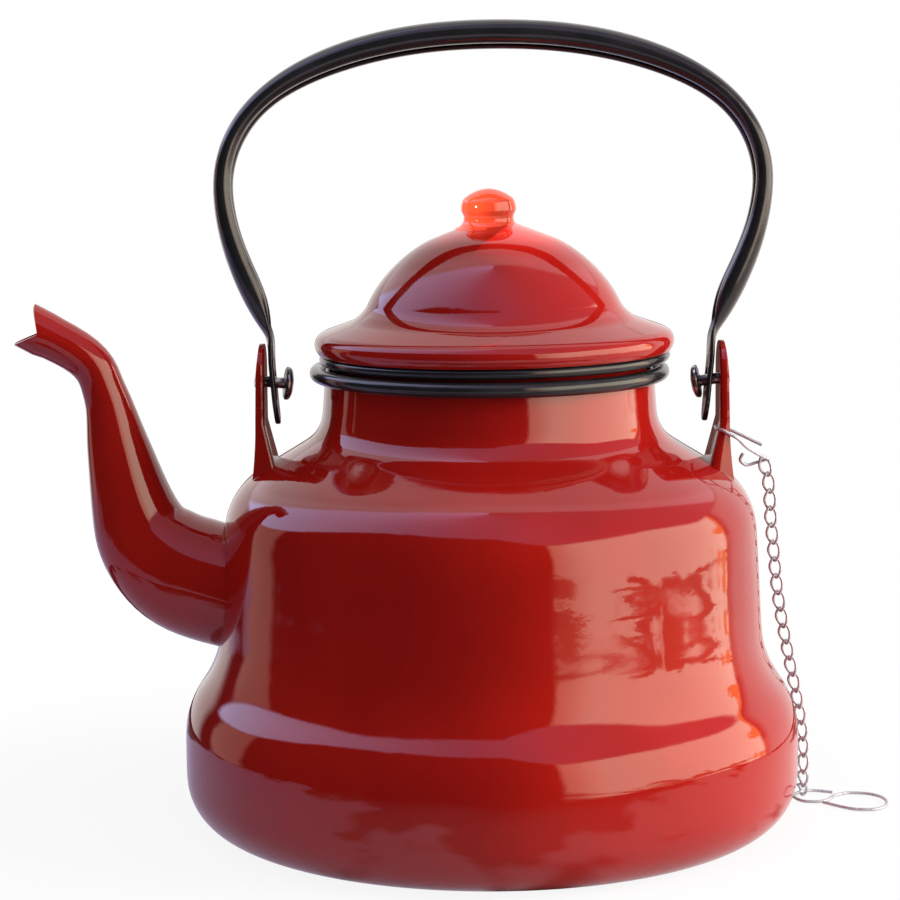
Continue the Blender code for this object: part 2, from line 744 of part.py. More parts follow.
def make_knob(seat):
    """The knob, and the cutter in the form of the lid's crown that hollows its foot."""
    crown = seat[-1].y
    off_centre = abs(KNOB_SHIFT)
    neck = height_at(seat, KNOB_NECK_RADIUS) + KNOB_NECK_HEIGHT
    top = crown + KNOB_HEIGHT
    middle = (neck + top) / 2
    foot = KNOB_NECK_RADIUS + KNOB_FOOT_FLARE
    outline = [Vector((0.0, top))]
    for step in range(1, 9):
        turn = math.pi / 2 - math.radians(142) * step / 8
        level = middle + (top - middle) * math.sin(turn)
        outline.append(Vector((KNOB_RADIUS * math.cos(turn) ** 0.8 if turn > 0 else
                               KNOB_RADIUS * math.cos(turn * 0.5), level)))
    outline.append(Vector((KNOB_NECK_RADIUS, neck - KNOB_NECK_HEIGHT / 2)))
    outline.append(Vector((foot, height_at(seat, foot - off_centre) + GAP)))
    bottom = height_at(seat, foot + off_centre) - GAP
    outline += [Vector((foot, bottom)), Vector((0.0, bottom))]
    knob = turned("lid_knob", outline, PARTS, RED, steps=SMALL_TURN_STEPS)
    knob.location.x = KNOB_SHIFT
    crown_line = [Vector((0.0, crown))]
    crown_line += [point for point in seat[-2::-1] if point.x < LID_DOME_RADIUS]
    floor = crown_line[-1].y - LID_WALL
    crown_line += [Vector((crown_line[-1].x, floor)), Vector((0.0, floor))]
    cutter = turned("knob_foot_cutter", crown_line, CUTTERS)
    cutter.hide_render = True
    cutter.display_type = 'WIRE'
    cut(knob, cutter)
    return [knob, cutter]


# Chain

def link_points(inner_length):
    """The middle line of a link that is twisted by a quarter turn from end to end."""
    half_length = inner_length / 2 + LINK_WIRE
    half_width = LINK_INNER_WIDTH / 2 + LINK_WIRE
    points = []
    for step in range(12):
        turn = 2 * math.pi * step / 12
        across = half_width * math.sin(turn)
        twist = LINK_TWIST * math.cos(turn)
        points.append((across * math.cos(twist), across * math.sin(twist),
                       half_length * math.cos(turn)))
    return points


def chain_path(start, end):
    """The chain's route past the side of the body, from one clip's wire to the other's."""
    outline = body_outline()
    route = [start]
    for share, standoff, degrees in CHAIN_ROUTE:
        height = start.z + (end.z - start.z) * share
        reach = radius_at(outline, min(height, SHOULDER_HEIGHT - SHOULDER_ROUND)) + standoff
        angle = math.radians(degrees)
        route.append(Vector((reach * math.cos(angle), reach * math.sin(angle), height)))
    return smooth_path(route + [end], 4)


def make_chain(start, end):
    """Links that hang from the upper clip's wire and hold the lower clip's."""
    path = chain_path(start, end)
    pitch = (path_length(path) + 2 * CLIP_WIRE + GAP) / LINK_COUNT
    first = -CLIP_WIRE - GAP / 2
    points = link_points(pitch + GAP)
    for number in range(LINK_COUNT):
        start = at_length(path, first + pitch * number)
        end = at_length(path, first + pitch * (number + 1))
        link = wire("chain_link_%02d" % (number + 1), points, LINK_WIRE, STEEL_WIRE, True)
        turn = Quaternion((0.0, 0.0, 1.0), CHAIN_TWIST * number / (LINK_COUNT - 1))
        link.rotation_mode = 'QUATERNION'
        down = Vector((0.0, 0.0, -1.0))
        link.rotation_quaternion = down.rotation_difference(end - start) @ turn
        link.location = (start + end) / 2


def make_upper_clip():
    """A hook of wire through the ear's lower hole. Returns the place where the chain hangs."""
    hole = chain_hole_height()
    web, half_width = ear_at(hole)
    web += EAR_SHIFT
    inside = web - 2 * CLIP_WIRE
    front = -half_width - CLIP_WIRE - GAP
    fall = hole - SHOULDER_HEIGHT
    reach = UPPER_CLIP_REACH

    def arm(out, across, down):
        """A point of an arm, as shares of the clip's reach and of its height over the shoulder."""
        return Vector((web + reach * out, reach * across, hole - fall * down))

    hang = arm(0.951, 0.049, 0.571)
    points = [
        arm(0.859, -0.123, 0.303), arm(0.245, -0.061, 0.061),
        (web + CLIP_WIRE, -GAP, hole), (web - CLIP_WIRE / 2, -CLIP_WIRE - GAP / 2, hole),
        (inside, -4 * CLIP_WIRE, hole), (inside, front / 2, hole),
        (inside + GAP, front + 4 * CLIP_WIRE, hole), (web + CLIP_WIRE, front, hole),
        arm(0.153, 0.0, 0.056) + Vector((0.0, front - GAP, 0.0)),
        arm(0.337, 0.0, 0.146) + Vector((0.0, front, 0.0)),
        arm(0.540, -0.460, 0.313), arm(0.877, -0.184, 0.495), arm(1.0, -0.074, 0.545), hang,
        arm(0.779, 0.080, 0.616), arm(0.583, 0.061, 0.657), arm(0.448, 0.0, 0.566),
        arm(0.497, -0.037, 0.449),
    ]
    wire("chain_clip_upper", smooth_path(points, 3), CLIP_WIRE, STEEL_WIRE)
    return hang


def make_lower_clip():
    """A looped hook of wire lying beside the body. Returns the place where the chain ends."""
    rest = CLIP_REST_HEIGHT
    length = LOWER_CLIP_LENGTH

    def flat(out, back, lift=0.0):
        """A point of the wire, as shares of the clip's length."""
        return Vector((BELT_RADIUS + length * out, length * back, rest + CLIP_WIRE * lift))

    hold = flat(0.150, 0.677, 1.5)
    points = [
        flat(0.483, 0.696, 0.4), flat(0.285, 0.727, 1.1), hold, flat(0.050, 0.533, 0.7),
        flat(0.122, 0.382), flat(0.266, 0.351), flat(0.389, 0.408), flat(0.498, 0.596),
        flat(0.655, 0.690), flat(0.859, 0.643), flat(0.975, 0.502), flat(1.0, 0.313),
        flat(0.947, 0.132), flat(0.828, 0.025), flat(0.643, 0.031), flat(0.498, 0.138),
        flat(0.332, 0.323),
    ]
    wire("chain_clip_lower", smooth_path(points, 3), CLIP_WIRE, STEEL_WIRE)
    return hold


clear_scene()
PARTS = new_collection("enamel kettle")
CUTTERS = new_collection("cutters")
RED = new_material("red enamel", ENAMEL_RED, 0.12, 0.0)
BLACK = new_material("black enamel", ENAMEL_BLACK, 0.15, 0.0)
STEEL_BRIGHT = new_material("rivet steel", STEEL, 0.3, 1.0)
STEEL_WIRE = new_material("wire steel", STEEL, 0.25, 1.0)

BODY, SKIN_CUTTER = make_body()
make_spout(BODY, SKIN_CUTTER)
make_ears(SKIN_CUTTER)
make_rivet("rivet_left", -1, RIVET_DROOP_LEFT)
make_rivet("rivet_right", 1, RIVET_DROOP_RIGHT)
make_bail()
make_lid()
make_chain(make_upper_clip(), make_lower_clip())
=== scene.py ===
"""The enamel kettle's finished look: fired enamel, black beads, rivets and a wire chain."""
import json
import math

import bmesh
import bpy
from mathutils import Matrix, Quaternion, Vector


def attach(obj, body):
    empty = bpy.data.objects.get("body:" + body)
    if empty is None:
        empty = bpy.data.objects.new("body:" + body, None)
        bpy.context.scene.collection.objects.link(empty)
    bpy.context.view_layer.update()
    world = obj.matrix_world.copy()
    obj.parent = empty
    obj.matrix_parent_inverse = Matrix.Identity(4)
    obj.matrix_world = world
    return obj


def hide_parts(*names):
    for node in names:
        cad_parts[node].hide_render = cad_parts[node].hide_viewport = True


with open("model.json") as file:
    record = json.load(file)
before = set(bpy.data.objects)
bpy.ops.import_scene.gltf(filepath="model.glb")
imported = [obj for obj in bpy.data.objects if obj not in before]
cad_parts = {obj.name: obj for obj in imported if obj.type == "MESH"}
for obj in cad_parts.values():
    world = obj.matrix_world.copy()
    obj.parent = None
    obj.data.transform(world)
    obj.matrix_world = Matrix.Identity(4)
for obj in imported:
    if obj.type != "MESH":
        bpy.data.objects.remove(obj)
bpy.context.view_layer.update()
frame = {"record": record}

# Camera, fitted to the kettle's turned outlines
CAMERA_PLACE = (-0.01292, -0.89866, 0.24706)
CAMERA_PITCH = 0.1381
CAMERA_ROLL = -0.0084
CAMERA_LENS = 111.84

# Body and rim. A profile's corner is its radius, its height and the length cut off by its round
BODY_WALL = 0.0008
BODY_PROFILE = (
    (0.0, 0.0, 0.0),
    (0.1001, 0.0, 0.0168),
    (0.1001, 0.0399, 0.0079),
    (0.0887, 0.0536, 0.0095),
    (0.0857, 0.1095, 0.0108),
    (0.0543, 0.1286, 0.0058),
    (0.0529, 0.1491, 0.0),
)
RIM_BEAD = (0.0556, 0.1479, 0.0024)

# Lid
LID_SHIFT = 0.0017
LID_TILT = math.radians(0.5)
LID_WALL = 0.0008
LID_REST = 0.1503
LID_HEM = (0.0548, 0.1523, 0.0017)
LID_CROWN = 0.1979
LID_SLOPE = 0.389
LID_PROFILE = (
    (0.0, LID_CROWN, 0.0),
    (0.0340, 0.1847, 0.0160),
    (0.0423, 0.1655, 0.0048),
    (0.0605, 0.1590, 0.0061),
    (0.0567, 0.1540, 0.0),
)
COLLAR_PROFILE = ((0.0495, 0.1618, 0.0), (0.0495, 0.1403, 0.0))
KNOB_SHIFT = -0.0012
KNOB_FOOT = 0.0112
KNOB_PROFILE = (
    (0.0, 0.2063, 0.0),
    (0.0053, 0.2054, 0.0034),
    (0.0089, 0.2021, 0.0027),
    (0.0088, 0.1992, 0.0013),
    (0.0079, 0.1974, 0.0009),
    (0.0082, 0.1944, 0.0022),
    (KNOB_FOOT, 0.1936, 0.0),
)

# Spout: reach from the kettle's axis, height and radius of each station
SPOUT_WALL = 0.0009
SPOUT_SIDES = 48
SPOUT_STEPS = 6
BEND_STEPS = 24
BEND_ROUNDS = 8
SPOUT_STATIONS = (
    (0.0832, 0.0772, 0.01975),
    (0.1005, 0.0826, 0.01963),
    (0.1114, 0.0928, 0.01684),
    (0.1158, 0.1030, 0.01390),
    (0.1205, 0.1241, 0.01018),
    (0.1242, 0.1412, 0.00718),
    (0.1308, 0.1535, 0.00690),
    (0.1523, 0.1656, 0.00755),
)
SPOUT_BORE = 0.0183
SPOUT_OPENING_MARGIN = 0.002
NOTCH_DEPTH = 0.0086
NOTCH_SLOPE = 0.7536
NOTCH_CLEAR = 0.002
LIP_EDGE = 0.0005
LIP_START = 0.0012
LIP_REACH = 0.13

# Ears. The sheet's half width is shared out among the flat web, its bend and the flange
EAR_FLAT_SHARE = 0.5
EAR_BEND_SHARE = 0.2
EAR_FLANGE_SHARE = 0.3
EAR_WEB = 0.0731
EAR_SHIFT = 0.0008
EAR_SHEET = 0.0012
EAR_HALF_WIDTH = 0.0100
EAR_FOOT_HALF_WIDTH = 0.0170
EAR_BEND = 0.0018
EAR_TOP_FLANGE = 0.0018
EAR_FLANGE = 0.0030
EAR_FOOT_LEAN = 0.0050
EAR_CLOSING = 0.25
EAR_CROWN_SHARE = 0.35
EAR_KNEE_SHARE = 0.5
EAR_TOP = 0.1481
EAR_CROWN_RISE = 0.0092
EAR_KNEE = 0.1321
EAR_FOOT = 0.1027
EAR_EDGE_ROUND = 0.0002
CHAIN_HOLE = (0.1293, 0.0018)

# Pivots and rivets
PIVOT_HEIGHT = 0.1451
PIVOT_HOLE_PLAY = 0.0006
BAIL_HOLE_PLAY = 0.0018
HOLE_CUT = 0.01
SHANK_RADIUS = 0.0018
SHANK_LENGTH = 0.0086
HEAD_RADIUS = 0.00535
HEAD_THICKNESS = 0.0024
TAIL_RADIUS = 0.0025
TAIL_THICKNESS = 0.0012
RIVET_SWING = math.radians(11)
RIVET_DROOPS = {"left": math.radians(6.7), "right": math.radians(10)}

# Bail
BAIL_SHEET = 0.0017
BAIL_TAB = 0.0711
BAIL_TAB_SLANT = 0.0014
BAIL_TAB_RISE = 0.0140
BAIL_TAB_DROP = 0.0140
BAIL_TAB_WIDTH = 0.0150
BAIL_RISE = 0.1164
BAIL_BELLY_RISE = 0.0619
BAIL_HALF_SPAN = 0.0908
BAIL_ARCH_POWER = 2.2
BAIL_ARCH_STEPS = 13
BAIL_SHANK = ((0.096, 0.046), (0.377, 0.200), (0.701, 0.463), (0.918, 0.737))
BAIL_ARM = (0.0180, 0.0061)
BAIL_GRIP = (0.0210, 0.0086)
BAIL_HIP = (0.0280, 0.0082)
BAIL_LIP = 0.0055
BAIL_ROLL_START = 0.0112
BAIL_ROLL_RISE = 0.0240
BAIL_SKEW = 0.0022
BAIL_LEAN = math.radians(8)
BAIL_SHIFT = 0.0005

# Chain and clips
LINK_COUNT = 21
LINK_STEPS = 28
LINK_WIRE = 0.00045
LINK_HALF_WIDTH = 0.0018
LINK_TWIST = math.radians(45)
CHAIN_TWIST = math.radians(-45)
CLIP_WIRE = 0.00055

# Finishes
ENAMEL_RED = (0.300, 0.0075, 0.0040, 1.0)
ENAMEL_DEEP = (0.235, 0.0055, 0.0042, 1.0)
# The knob's red is lighter and more orange than the body's: painted sunlight on the knob
KNOB_PAINTED_SUN_DEEP = (0.36, 0.030, 0.012, 1.0)
KNOB_PAINTED_SUN_BRIGHT = (0.42, 0.042, 0.017, 1.0)
ENAMEL_BLACK = (0.0095, 0.0097, 0.0112, 1.0)
WORN_BLACK = (0.0150, 0.0150, 0.0175, 1.0)
PINHOLE = (0.02, 0.006, 0.005, 1.0)
STEEL_BRIGHT = (0.60, 0.59, 0.58, 1.0)
STEEL_DARK = (0.10, 0.10, 0.105, 1.0)
WIRE_BRIGHT = (0.50, 0.51, 0.55, 1.0)
WIRE_DULL = (0.30, 0.30, 0.33, 1.0)

# Surroundings. Only the gloss sees the yard's sky, wall and ground
WHITE = (1.0, 1.0, 1.0, 1.0)
FLOOR_GREY = (0.76, 0.76, 0.76, 1.0)
GROUND_LEFT = (0.52, 0.46, 0.72, 1.0)
GROUND_RIGHT = (1.05, 0.88, 0.82, 1.0)
YARD_DARK = (0.030, 0.020, 0.022, 1.0)
SKY_LEFT = (1.95, 2.10, 3.30, 1.0)
SKY_FRONT = (0.80, 0.66, 1.10, 1.0)
SKY_RIGHT = (0.52, 0.42, 0.52, 1.0)
SKY_HIGH = (1.40, 1.34, 1.42, 1.0)
SKY_BACK = (1.08, 1.00, 1.00, 1.0)
SHRUB_BROWN = (1.15, 0.62, 0.40, 1.0)
WALL_CORNER = (3.4, 2.0, 1.45, 1.0)
WALL_PALE = (4.6, 4.1, 3.2, 1.0)
WALL_ORANGE = (4.2, 1.5, 0.45, 1.0)
POST_BROWN = (1.05, 0.60, 0.50, 1.0)
BACK_PALE = (1.05, 1.0, 0.97, 1.0)
HEDGE_DARK = (0.16, 0.07, 0.06, 1.0)
DAYLIGHT_LOW = (0.36, 0.34, 0.34, 1.0)
DAYLIGHT_HIGH = (0.42, 0.44, 0.50, 1.0)
WALL_START = 25.5
WALL_END = 118.0
ROOF_EDGE = 1.5
FLOOR_RADIUS = 0.30
DEGREES = 57.2958
KETTLE_MIDDLE = (0.0, 0.0, 0.08)
SUN_COLOUR = (1.0, 0.88, 0.70)
SUN_SOFTNESS = 0.006


# Shader words

class Value:
    """A shader socket that takes part in Python arithmetic."""

    def __init__(self, finish, socket):
        self.finish = finish
        self.socket = socket

    def math(self, operation, *others):
        return self.finish.node('ShaderNodeMath', {"operation": operation}, [self, *others])

    def __add__(self, other):
        return self.math('ADD', other)

    def __sub__(self, other):
        return self.math('SUBTRACT', other)

    def __rsub__(self, other):
        return self.finish.node('ShaderNodeMath', {"operation": 'SUBTRACT'}, [other, self])

    def __mul__(self, other):
        return self.math('MULTIPLY', other)

    __radd__ = __add__
    __rmul__ = __mul__

    def step(self, low, high):
        """0 below low and 1 above high, with a soft change between them. Low may be the higher."""
        return self.finish.node('ShaderNodeMapRange', {"interpolation_type": 'SMOOTHSTEP'},
                                {"Value": self, "From Min": low, "From Max": high})

    def band(self, low, high, soft):
        """1 between low and high, with soft ends."""
        return self.step(low - soft, low + soft) * self.step(high + soft, high - soft)


class Finish:
    """A material's or the world's node tree, built one node at a time."""

    def __init__(self, owner):
        self.owner = owner
        owner.use_nodes = True
        self.tree = owner.node_tree
        self.tree.nodes.clear()

    def node(self, kind, settings=(), inputs=(), output=0):
        made = self.tree.nodes.new(kind)
        for name, value in dict(settings).items():
            setattr(made, name, value)
        pairs = inputs.items() if isinstance(inputs, dict) else enumerate(inputs)
        for name, value in pairs:
            if isinstance(value, Value):
                self.tree.links.new(value.socket, made.inputs[name])
            else:
                made.inputs[name].default_value = value
        return Value(self, made.outputs[output]) if len(made.outputs) else None

    def mix(self, factor, low, high):
        """A colour between two colours."""
        made = self.tree.nodes.new('ShaderNodeMix')
        made.data_type = 'RGBA'
        for index, value in ((0, factor), (6, low), (7, high)):
            if isinstance(value, Value):
                self.tree.links.new(value.socket, made.inputs[index])
            else:
                made.inputs[index].default_value = value
        return Value(self, made.outputs[2])

    def place(self):
        return self.node('ShaderNodeTexCoord', output="Object")

    def noise(self, scale, detail=2.0, roughness=0.5, vector=None):
        return self.node('ShaderNodeTexNoise', {},
                         {"Vector": vector or self.place(), "Scale": scale, "Detail": detail,
                          "Roughness": roughness}, output="Fac")

    def bump(self, height, distance, strength=1.0, normal=None):
        inputs = {"Height": height, "Distance": distance, "Strength": strength}
        if normal is not None:
            inputs["Normal"] = normal
        return self.node('ShaderNodeBump', {}, inputs)

    def surface(self, **inputs):
        """The Principled shader and the material's output."""
        names = {name.replace("_", " "): value for name, value in inputs.items()}
        shader = self.node('ShaderNodeBsdfPrincipled', {}, names)
        self.node('ShaderNodeOutputMaterial', {}, {"Surface": shader})


def red_enamel(name, deep, bright):
    """Glass enamel fired on sheet: deep red, wet gloss, slow waves and rare pinholes."""
    material = bpy.data.materials.new(name)
    finish = Finish(material)
    cloud = finish.noise(14.0, 3.0)
    colour = finish.mix(cloud.step(0.35, 0.70), deep, bright)
    cells = finish.node('ShaderNodeTexVoronoi', {}, {"Vector": finish.place(), "Scale": 46.0},
                        output="Distance")
    rare = finish.noise(38.0, 0.0).step(0.66, 0.70)
    pinhole = cells.step(0.030, 0.018) * rare
    colour = finish.mix(pinhole, colour, PINHOLE)
    smudge = finish.noise(55.0, 4.0).step(0.40, 0.75)
    slow = finish.bump(finish.noise(13.0, 1.0), 0.0010)
    flat = finish.node('ShaderNodeMapping', {}, {"Vector": finish.place(),
                                                 "Scale": (17.0, 17.0, 60.0)})
    ripples = finish.bump(finish.noise(1.0, 1.0, vector=flat), 0.00045, 1.0, slow)
    waves = finish.bump(finish.noise(34.0, 1.0), 0.00035, 1.0, ripples)
    peel = finish.bump(finish.noise(420.0, 2.0), 0.000010, 1.0, waves)
    finish.surface(Base_Color=colour, Roughness=0.035 + smudge * 0.05 + pinhole * 0.3,
                   Normal=peel)
    return material


def black_enamel():
    """The black of the beads and the bail, a little less even than the red."""
    material = bpy.data.materials.new("fired black enamel")
    finish = Finish(material)
    cloud = finish.noise(60.0, 3.0)
    colour = finish.mix(cloud.step(0.3, 0.8), ENAMEL_BLACK, WORN_BLACK)
    worn = finish.noise(260.0, 5.0, 0.65)
    waves = finish.bump(finish.noise(70.0, 2.0), 0.00040)
    grit = finish.bump(worn, 0.00002, 1.0, waves)
    finish.surface(Base_Color=colour, Roughness=0.17 + cloud.step(0.45, 0.75) * 0.10,
                   Normal=grit)
    return material


def rivet_steel():
    """Steel with dull dark patches and brighter rubbed spots, spread at random."""
    material = bpy.data.materials.new("worn rivet steel")
    finish = Finish(material)
    patches = finish.noise(520.0, 4.0, 0.6).step(0.42, 0.62)
    colour = finish.mix(patches, STEEL_DARK, STEEL_BRIGHT)
    scratches = finish.noise(2600.0, 2.0)
    finish.surface(Base_Color=colour, Metallic=1.0, Roughness=0.46 - patches * 0.18,
                   Normal=finish.bump(scratches, 0.00002))
    return material


def wire_steel():
    """Drawn steel wire, bright with faint fine marks and dull spots."""
    material = bpy.data.materials.new("drawn wire steel")
    finish = Finish(material)
    spots = finish.noise(700.0, 3.0).step(0.5, 0.75)
    colour = finish.mix(spots, WIRE_BRIGHT, WIRE_DULL)
    finish.surface(Base_Color=colour, Metallic=0.6, Roughness=0.42 + spots * 0.15,
                   Normal=finish.bump(finish.noise(3200.0, 2.0), 0.00001))
    return material


# Shapes

def rounded_profile(shape, corners):
    """A line in the XZ plane through corners, each with its round."""
    verts = [shape.verts.new((radius, 0.0, height)) for radius, height, cut in corners]
    for a, b in zip(verts, verts[1:]):
        shape.edges.new((a, b))
    for vert, (radius, height, cut) in zip(verts, corners):
        if cut:
            bmesh.ops.bevel(shape, geom=[vert], offset=cut, offset_type='OFFSET',
                            affect='VERTICES', segments=12, profile=0.5, material=-1)


def eased_line(shape, spacing, rounds):
    """Divides a profile's long straights and lets its rounds run out into them."""
    for edge in shape.edges[:]:
        cuts = int(edge.calc_length() / spacing)
        if cuts:
            bmesh.ops.subdivide_edges(shape, edges=[edge], cuts=cuts)
    inner = [vert for vert in shape.verts if len(vert.link_edges) == 2 and vert.co.x > 0.04]
    for turn in range(rounds):
        bmesh.ops.smooth_vert(shape, verts=inner, factor=0.5, use_axis_x=True, use_axis_z=True)


def turn_about_z(shape, steps=144):
    bmesh.ops.spin(shape, geom=shape.verts[:] + shape.edges[:], cent=(0.0, 0.0, 0.0),
                   axis=(0.0, 0.0, 1.0), angle=2 * math.pi, steps=steps, use_merge=True)
    bmesh.ops.remove_doubles(shape, verts=shape.verts, dist=0.000002)
    bmesh.ops.recalc_face_normals(shape, faces=shape.faces)
    outer = max(shape.faces, key=lambda face: face.calc_center_median().xy.length)
    if outer.normal.xy.dot(outer.calc_center_median().xy) < 0:
        bmesh.ops.reverse_faces(shape, faces=shape.faces)


def turned(corners, steps=144):
    shape = bmesh.new()
    rounded_profile(shape, corners)
    turn_about_z(shape, steps)
    return shape


def ring(radius, height, wire_radius):
    """A ring of round wire about Z."""
    shape = bmesh.new()
    upright = Matrix.Translation((radius, 0.0, height)) @ Matrix.Rotation(math.pi / 2, 4, 'X')
    bmesh.ops.create_circle(shape, segments=20, radius=wire_radius, matrix=upright)
    turn_about_z(shape)
    return shape


def skin_through(rings, capped):
    """A tube through closed rings of points."""
    shape = bmesh.new()
    loops = []
    for points in rings:
        verts = [shape.verts.new(point) for point in points]
        loops.append([shape.edges.new(pair) for pair in zip(verts, verts[1:] + verts[:1])])
    for lower, upper in zip(loops, loops[1:]):
        bmesh.ops.bridge_loops(shape, edges=lower + upper)
    if capped:
        for loop in (loops[0], loops[-1]):
            bmesh.ops.contextual_create(shape, geom=loop)
    bmesh.ops.recalc_face_normals(shape, faces=shape.faces)
    return shape


def smooth_path(points, steps):
    """Points of a curve through the given points."""
    route = [Vector(point) for point in points]
    route = [route[0] * 2 - route[1]] + route + [route[-1] * 2 - route[-2]]
    result = []
    for a, b, c, d in zip(route, route[1:], route[2:], route[3:]):
        for step in range(steps):
            t = step / steps
            result.append(0.5 * (2 * b + (c - a) * t + (2 * a - 5 * b + 4 * c - d) * t ** 2
                                 + (3 * b - a - 3 * c + d) * t ** 3))
    result.append(route[-2])
    return result


def plain_object(name, shape):
    mesh = bpy.data.meshes.new(name)
    shape.to_mesh(mesh)
    shape.free()
    item = bpy.data.objects.new(name, mesh)
    bpy.context.scene.collection.objects.link(item)
    return item


def settled(item):
    """The object with its modifiers applied."""
    bpy.context.view_layer.update()
    graph = bpy.context.evaluated_depsgraph_get()
    mesh = bpy.data.meshes.new_from_object(item.evaluated_get(graph))
    item.modifiers.clear()
    item.data = mesh
    return item


def walled(item, wall):
    solidify = item.modifiers.new("wall", 'SOLIDIFY')
    solidify.thickness = wall
    solidify.offset = -1.0
    solidify.use_even_offset = True


def carved(item, *shapes):
    """The object with its wall applied and the given solids taken out of it."""
    cutters = [plain_object("carver", shape) for shape in shapes]
    for cutter in cutters:
        boolean = item.modifiers.new("cut", 'BOOLEAN')
        boolean.operation = 'DIFFERENCE'
        boolean.solver = 'EXACT'
        boolean.object = cutter
    settled(item)
    for cutter in cutters:
        bpy.data.objects.remove(cutter, do_unlink=True)
    return item


def bar(place, radius, length, segments=32):
    """A round bar along X."""
    shape = bmesh.new()
    matrix = Matrix.Translation(place) @ Matrix.Rotation(math.pi / 2, 4, 'Y')
    bmesh.ops.create_cone(shape, cap_ends=True, segments=segments, radius1=radius,
                          radius2=radius, depth=length, matrix=matrix)
    return shape


def skin_solid():
    """The space within the body's outer skin, as a carver."""
    return turned(BODY_PROFILE + ((0.0, BODY_PROFILE[-1][1], 0.0),), 96)


def edge_rounded(item, width, angle=40):
    bevel = item.modifiers.new("edge", 'BEVEL')
    bevel.width = width
    bevel.segments = 2
    bevel.limit_method = 'ANGLE'
    bevel.angle_limit = math.radians(angle)
    bevel.harden_normals = True


def finish_piece(item, material, body, slot, *nodes, smooth_angle=40):
    """Gives a piece its material, and makes it stand for its CAD nodes and ride on their body."""
    item.data.materials.clear()
    item.data.materials.append(material)
    item.data.shade_smooth()
    item.data.set_sharp_from_angle(angle=math.radians(smooth_angle))
    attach(item, body)
    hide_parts(*nodes)
    return item


# Pieces of the kettle

def make_body():
    shape = bmesh.new()
    rounded_profile(shape, BODY_PROFILE)
    eased_line(shape, 0.002, 8)
    turn_about_z(shape, 180)
    root_height = SPOUT_STATIONS[0][1]
    mouth_faces = [face for face in shape.faces
                   if face.calc_center_median().x < 0
                   and math.hypot(face.calc_center_median().y,
                                  face.calc_center_median().z - root_height)
                   < SPOUT_BORE - SPOUT_OPENING_MARGIN]
    bmesh.ops.delete(shape, geom=mouth_faces, context='FACES')
    body = plain_object("kettle_body", shape)
    walled(body, BODY_WALL)
    finish_piece(body, RED, "kettle", "red enamel", "body_shell", "bottom_pan")
    bead = plain_object("rim_bead", ring(*RIM_BEAD))
    finish_piece(bead, BLACK, "kettle", "black enamel", "mouth_rim")


def spout_rings():
    """Centre, two directions and radius of each ring, with the lower bend evened out."""
    path = smooth_path([(-reach, height, radius) for reach, height, radius in SPOUT_STATIONS],
                       SPOUT_STEPS)
    for turn in range(BEND_ROUNDS):
        evened = [(a + 2 * b + c) / 4 for a, b, c in zip(path, path[1:], path[2:BEND_STEPS])]
        path[1:1 + len(evened)] = evened
    rings = []
    side = Vector((0.0, 1.0, 0.0))
    for index, point in enumerate(path):
        ahead = path[min(index + 1, len(path) - 1)] - path[max(index - 1, 0)]
        along = Vector((ahead.x, 0.0, ahead.y)).normalized()
        up = along.cross(side)
        centre = Vector((point.x, 0.0, point.y))
        if index == 0:
            rings.append((centre - along * point.z / 2, along, up, point.z))
        rings.append((centre, along, up, point.z))
    return rings


def make_spout():
    """A walled tube that ends in a swallow-tail lip, with its last ring close to the edge."""
    stations = spout_rings()
    tip, tip_along, tip_up, tip_radius = stations[-1]
    notch = tip - tip_along * NOTCH_DEPTH
    angles = [2 * math.pi * i / SPOUT_SIDES for i in range(SPOUT_SIDES)]
    loops = []
    for centre, along, up, radius in stations:
        if (centre - notch).dot(tip_along) > -NOTCH_CLEAR and centre.x < -LIP_REACH:
            continue
        loops.append([centre + (Vector((0.0, math.cos(a), 0.0)) + up * math.sin(a)) * radius
                      for a in angles])
    for share, back in ((0.0, 0.0), (0.5, 0.0), (1.0, LIP_EDGE), (1.0, 0.0)):
        edge = []
        for a in angles:
            rise = tip_radius * math.sin(a)
            out = (NOTCH_SLOPE * abs(rise) + LIP_START) * share - LIP_START - back
            edge.append(notch + tip_along * out + tip_up * rise
                        + Vector((0.0, tip_radius * math.cos(a), 0.0)))
        loops.append(edge)
    spout = plain_object("curved_spout", skin_through(loops, False))
    walled(spout, SPOUT_WALL)
    carved(spout, skin_solid())
    finish_piece(spout, RED, "kettle", "red enamel", "spout")


def ear_station(share):
    """Height, web distance, half width and flange depth, from the ear's top, 0, to its foot, 1."""
    if share <= EAR_CROWN_SHARE:
        turn = math.pi / 2 * (1 - share / EAR_CROWN_SHARE)
        flange = EAR_TOP_FLANGE + (EAR_FLANGE - EAR_TOP_FLANGE) * (1 - math.sin(turn)) * 0.7
        return (EAR_TOP + EAR_CROWN_RISE * math.sin(turn), EAR_WEB,
                EAR_HALF_WIDTH * math.cos(turn), flange)
    if share <= EAR_KNEE_SHARE:
        part = (share - EAR_CROWN_SHARE) / (EAR_KNEE_SHARE - EAR_CROWN_SHARE)
        flange = EAR_FLANGE - (EAR_FLANGE - EAR_TOP_FLANGE) * 0.3 * (1 - part)
        return EAR_TOP + (EAR_KNEE - EAR_TOP) * part, EAR_WEB, EAR_HALF_WIDTH, flange
    part = (share - EAR_KNEE_SHARE) / (1 - EAR_KNEE_SHARE)
    lean = EAR_FOOT_LEAN * part * 1.4
    widening = (EAR_FOOT_HALF_WIDTH - EAR_HALF_WIDTH) * part ** 1.3
    return (EAR_KNEE + (EAR_FOOT - EAR_KNEE) * part, EAR_WEB - lean,
            EAR_HALF_WIDTH + widening, EAR_FLANGE + lean + EAR_FLANGE * part ** 2)


